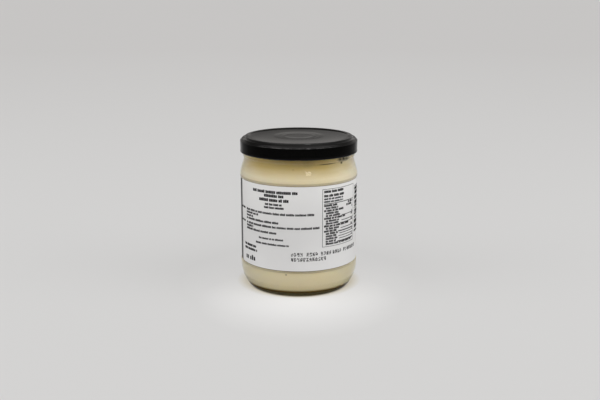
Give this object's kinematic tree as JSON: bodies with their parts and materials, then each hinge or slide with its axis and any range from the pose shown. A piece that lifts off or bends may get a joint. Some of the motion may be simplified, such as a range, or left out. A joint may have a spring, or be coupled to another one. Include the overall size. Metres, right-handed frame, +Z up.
{
  "type": "vegetable puree jar",
  "caption": "Round glass jar filled with smooth pale vegetable puree, closed by a black twist-off lid and wrapped in a printed paper label.",
  "frame": {"origin": "centre of the ring that the jar stands on, at floor height", "axes": "+Z up along the jar's axis, -Y out of the side of the label that shows in the picture, +X to the right of that side"},
  "size_m": [0.0864, 0.0864, 0.1112],
  "materials": {
    "clear_glass": "clear pressed container glass, smooth",
    "vegetable_puree": "smooth wet cream-coloured puree with a few small bubbles and specks",
    "black_lacquer": "glossy black lacquer on tinplate",
    "label_paper": "satin white label paper with black print"
  },
  "bodies": {
    "root": {"jar": "clear_glass", "puree": "vegetable_puree", "lid": "black_lacquer", "label": "label_paper"}
  },
  "joints": []
}
